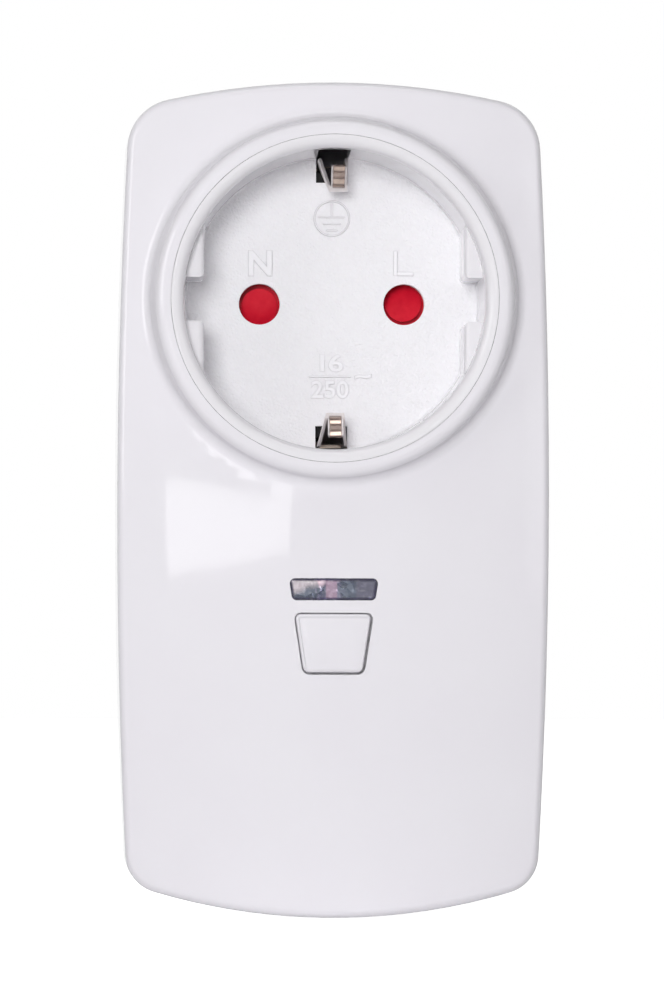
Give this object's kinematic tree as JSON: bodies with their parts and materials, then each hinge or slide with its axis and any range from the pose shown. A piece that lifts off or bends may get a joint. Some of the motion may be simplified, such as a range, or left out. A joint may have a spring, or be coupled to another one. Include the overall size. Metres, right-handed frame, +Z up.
{
  "type": "plug-in dimmer",
  "caption": "Plug-in wall dimmer with a round earthed plug behind, a shuttered earthed socket in a raised collar, and an indicator window and push button below it.",
  "frame": {"origin": "centre of the plug's engagement face, on the axis that the plug and the socket share", "axes": "+X to the right seen from the front, +Y back into the wall along the pins, +Z up"},
  "size_m": [0.0568, 0.0735, 0.1092],
  "materials": {
    "case_white": "gloss",
    "insert_white": "fine spark-eroded grain",
    "carrier_black": "satin",
    "shutter_red": "gloss, slightly mottled",
    "smoke_pane": "gloss, translucent",
    "status_pink": "diffuse",
    "nickel": "bright nickel plate",
    "screw_steel": "zinc plate",
    "contact_brass": "bright",
    "board_green": "solder resist",
    "package_black": "moulded",
    "aluminium": "extruded",
    "ferrite": "painted",
    "copper": "enamelled",
    "film_yellow": "gloss",
    "can_sleeve": "shrink sleeve",
    "varistor_blue": "dipped",
    "fuse_glass": "clear",
    "live_brown": "insulation",
    "neutral_blue": "insulation",
    "load_black": "insulation"
  },
  "bodies": {
    "housing": {"front_cover": "case_white", "rear_cover": "case_white", "cover_screws": "screw_steel", "socket_insert": "insert_white", "contact_carrier": "carrier_black", "carrier_screws": "screw_steel", "shutter_spring": "screw_steel", "neutral_contact": "contact_brass", "live_contact": "contact_brass", "earth_bridge": "nickel", "earth_rivets": "contact_brass", "plug_pin_neutral": "nickel", "plug_pin_live": "nickel", "plug_earth_strip": "nickel", "neutral_strap": "contact_brass", "live_lead": "live_brown", "load_lead": "load_black", "neutral_lead": "neutral_blue", "main_board": "board_green", "board_screws": "screw_steel", "triac": "package_black", "triac_screw": "screw_steel", "heat_sink": "aluminium", "choke_core": "ferrite", "choke_winding": "copper", "filter_capacitor": "film_yellow", "reservoir_capacitor": "can_sleeve", "fuse_glass": "fuse_glass", "fuse_caps": "nickel", "varistor": "varistor_blue", "receiver_board": "board_green", "receiver_chip": "package_black", "antenna_coil": "copper", "control_chip": "package_black", "switch_body": "package_black", "indicator_window": "smoke_pane", "status_led": "status_pink"},
    "button": {"button_cap": "case_white"},
    "plunger": {"switch_plunger": "package_black"},
    "shutter_rotor": {"shutter": "shutter_red"},
    "upper_clip": {"earth_clip_top": "nickel"},
    "lower_clip": {"earth_clip_bottom": "nickel"}
  },
  "joints": [
    {"name": "button_press", "type": "slide", "parent": "housing", "child": "button", "axis": [0, 1, 0], "range_m": [0, 0.0005], "stiffness_N_per_m": 400},
    {"name": "plunger_press", "type": "slide", "parent": "housing", "child": "plunger", "axis": [0, 1, 0], "range_m": [0, 0.0005]},
    {"name": "shutter_turn", "type": "hinge", "parent": "housing", "child": "shutter_rotor", "pos_m": [0, -0.0324, 0], "axis": [0, 1, 0], "range_deg": [0, 40], "stiffness_Nm_per_rad": 0.002, "deforming": ["shutter_spring"]},
    {"name": "upper_clip_flex", "type": "hinge", "parent": "housing", "child": "upper_clip", "pos_m": [0, -0.02815, 0.0183], "axis": [-1, 0, 0], "range_deg": [0, 6.2], "stiffness_Nm_per_rad": 0.3},
    {"name": "lower_clip_flex", "type": "hinge", "parent": "housing", "child": "lower_clip", "pos_m": [0, -0.02815, -0.0183], "axis": [1, 0, 0], "range_deg": [0, 6.2], "stiffness_Nm_per_rad": 0.3}
  ],
  "couplings": [
    {"joint": "plunger_press", "follows": "button_press", "ratio": 1}
  ]
}
